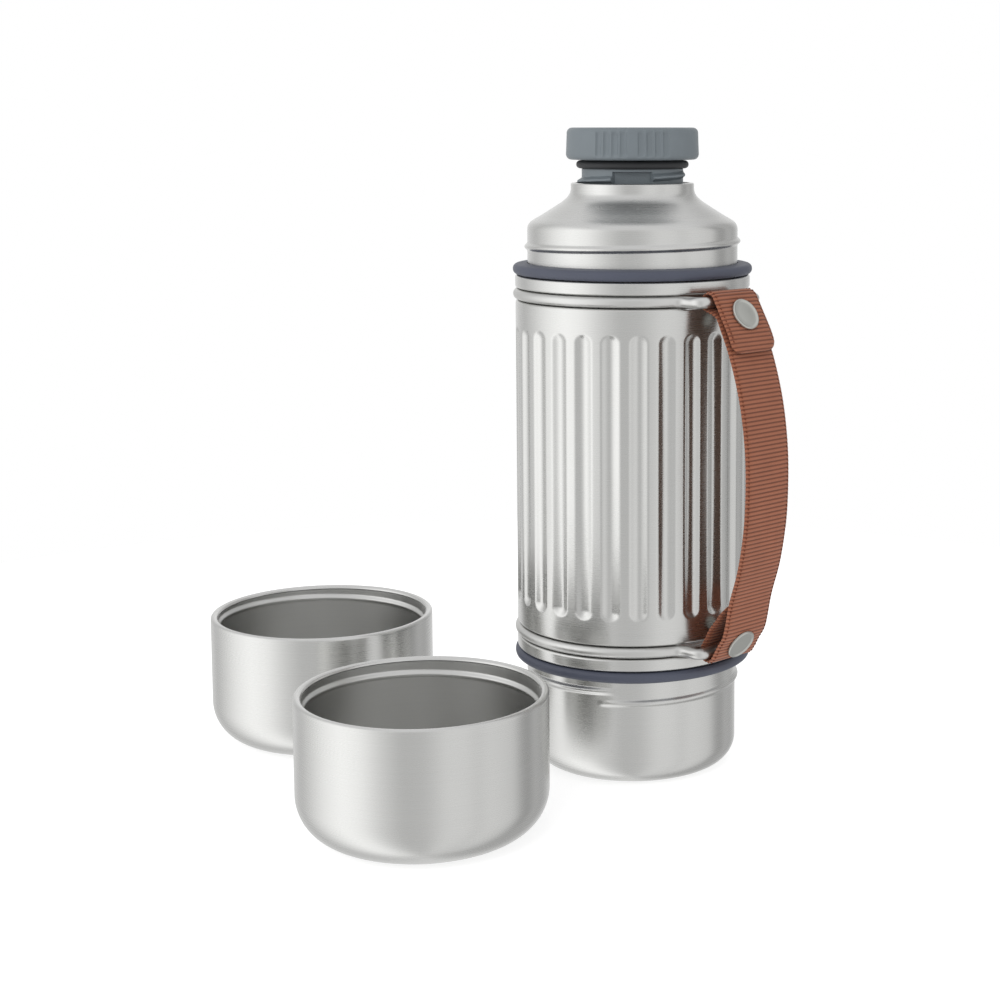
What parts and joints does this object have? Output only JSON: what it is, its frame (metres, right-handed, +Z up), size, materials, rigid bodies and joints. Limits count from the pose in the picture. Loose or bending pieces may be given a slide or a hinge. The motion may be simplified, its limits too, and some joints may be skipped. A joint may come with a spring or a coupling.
{
  "type": "canteen",
  "caption": "Double-walled steel vacuum flask with pressed flutes, a screw stopper, a webbing carry strap on wire rings and two screw-on steel cups set down beside it.",
  "frame": {"origin": "centre of the bottle's flat base, on the surface it stands on", "axes": "+Z up along the bottle's axis; -Y towards the front, where the pour channel faces; the strap is halfway between +X and -Y"},
  "size_m": [0.244, 0.2129, 0.2622],
  "materials": {
    "outer_steel": "brushed stainless steel",
    "inner_steel": "satin stainless steel",
    "wire": "drawn stainless wire, lightly polished",
    "silicone": "smooth blue-grey silicone",
    "grey_plastic": "moulded, finely textured",
    "foam": "closed-cell insulation",
    "seal_rubber": "smooth black rubber",
    "webbing": "ribbed brown nylon webbing",
    "snap_metal": "satin nickel plate"
  },
  "bodies": {
    "canteen": {"body_shell": "outer_steel", "shoulder_shell": "outer_steel", "base_shell": "outer_steel", "upper_band": "outer_steel", "lower_band": "outer_steel", "upper_gasket": "silicone", "lower_gasket": "silicone", "flask_body": "inner_steel", "flask_neck": "inner_steel", "getter_pellet": "inner_steel", "upper_wire_ring": "wire", "lower_wire_ring": "wire", "strap": "webbing", "upper_snap_stud": "snap_metal", "upper_snap_post": "snap_metal", "lower_snap_cap": "snap_metal", "lower_snap_stud": "snap_metal"},
    "seal": {"stopper_seal": "seal_rubber"},
    "stopper": {"stopper_knob": "grey_plastic", "stopper_plug": "grey_plastic", "stopper_core": "foam"},
    "top_flap": {"upper_strap_flap": "webbing", "upper_snap_cap": "snap_metal", "upper_snap_socket": "snap_metal"},
    "bottom_flap": {"lower_strap_flap": "webbing", "lower_snap_socket": "snap_metal", "lower_snap_post": "snap_metal"},
    "front_cup": {"front_cup_shell": "outer_steel", "front_cup_liner": "inner_steel"},
    "back_cup": {"back_cup_shell": "outer_steel", "back_cup_liner": "inner_steel"}
  },
  "joints": [
    {"name": "stopper_travel", "type": "slide", "parent": "canteen", "child": "seal", "axis": [0, 0, -1], "range_m": [-0.0205, 0.0091]},
    {"name": "stopper_turn", "type": "hinge", "parent": "seal", "child": "stopper", "pos_m": [0, 0, 0.24], "axis": [0, 0, -1], "range_deg": [-1200, 540]},
    {"name": "top_flap_swing", "type": "hinge", "parent": "canteen", "child": "top_flap", "pos_m": [0.04062, -0.04062, 0.19713], "axis": [-0.7071, -0.7071, 0], "range_deg": [0, 100]},
    {"name": "bottom_flap_swing", "type": "hinge", "parent": "canteen", "child": "bottom_flap", "pos_m": [0.03536, -0.03536, 0.05897], "axis": [-0.7071, -0.7071, 0], "range_deg": [0, 22]},
    {"name": "front_cup_lift", "type": "slide", "parent": "canteen", "child": "front_cup", "axis": [0, 0, 1], "range_m": [0, 0.06]},
    {"name": "back_cup_lift", "type": "slide", "parent": "canteen", "child": "back_cup", "axis": [0, 0, 1], "range_m": [0, 0.06]}
  ],
  "couplings": [
    {"joint": "stopper_travel", "follows": "stopper_turn", "m_per_rad": 0.00095493}
  ]
}
